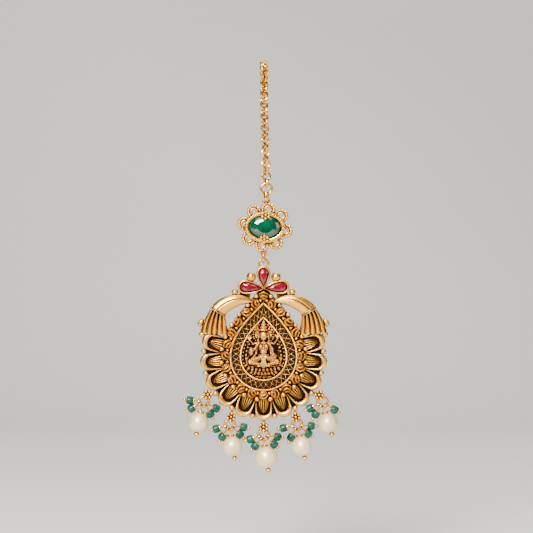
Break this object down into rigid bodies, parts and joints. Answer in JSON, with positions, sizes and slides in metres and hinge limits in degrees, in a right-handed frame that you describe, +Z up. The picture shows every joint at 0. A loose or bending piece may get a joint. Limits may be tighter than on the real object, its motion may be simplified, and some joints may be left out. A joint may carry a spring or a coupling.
{
  "type": "maang tikka hair ornament",
  "caption": "Hair pendant on a fine chain: an oval stone in a petalled flower, and a teardrop temple pendant with a seated figure, scalloped rim and pearl drops.",
  "frame": {"origin": "inside the middle of the hair hook's bend, where the hair carries it", "axes": "+Z up along the hanging ornament, front faces -Y, X to the viewer's right; the chain hangs down, the hook lies behind it"},
  "size_m": [0.0361, 0.0253, 0.0968],
  "materials": {
    "antique_gold": "antique gold plate, brown in the recesses",
    "bright_gold": "polished yellow gold plate",
    "green_stone": "cut deep green stone",
    "red_stone": "cut crimson stone",
    "green_bead": "round green bead on a gold pin",
    "pearl": "cream pearl"
  },
  "bodies": {
    "root": {"hair_hook": "bright_gold", "chain": "bright_gold", "chain_ring": "bright_gold"},
    "connector": {"upper_link": "bright_gold", "flower": "antique_gold", "emerald": "green_stone"},
    "pendant": {"lower_link": "bright_gold", "pendant_frame": "antique_gold", "ruby_top": "red_stone", "ruby_left": "red_stone", "ruby_right": "red_stone", "pearl_far_left": "pearl", "pin_far_left": "bright_gold", "bead_far_left_a": "green_bead", "bead_far_left_b": "green_bead", "bead_far_left_c": "green_bead", "bead_far_left_d": "green_bead", "pearl_left": "pearl", "pin_left": "bright_gold", "bead_left_a": "green_bead", "bead_left_b": "green_bead", "bead_left_c": "green_bead", "bead_left_d": "green_bead", "pearl_middle": "pearl", "pin_middle": "bright_gold", "bead_middle_a": "green_bead", "bead_middle_b": "green_bead", "bead_middle_c": "green_bead", "bead_middle_d": "green_bead", "pearl_right": "pearl", "pin_right": "bright_gold", "bead_right_a": "green_bead", "bead_right_b": "green_bead", "bead_right_c": "green_bead", "bead_right_d": "green_bead", "pearl_far_right": "pearl", "pin_far_right": "bright_gold", "bead_far_right_a": "green_bead", "bead_far_right_b": "green_bead", "bead_far_right_c": "green_bead"}
  },
  "joints": [
    {"name": "connector_swing", "type": "hinge", "parent": "root", "child": "connector", "pos_m": [0.0005, -0.02084, -0.0271], "axis": [1, 0, 0], "range_deg": [-75, 75]},
    {"name": "pendant_swing", "type": "hinge", "parent": "connector", "child": "pendant", "pos_m": [-0.00016, -0.02084, -0.04132], "axis": [1, 0, 0], "range_deg": [-75, 75]}
  ]
}
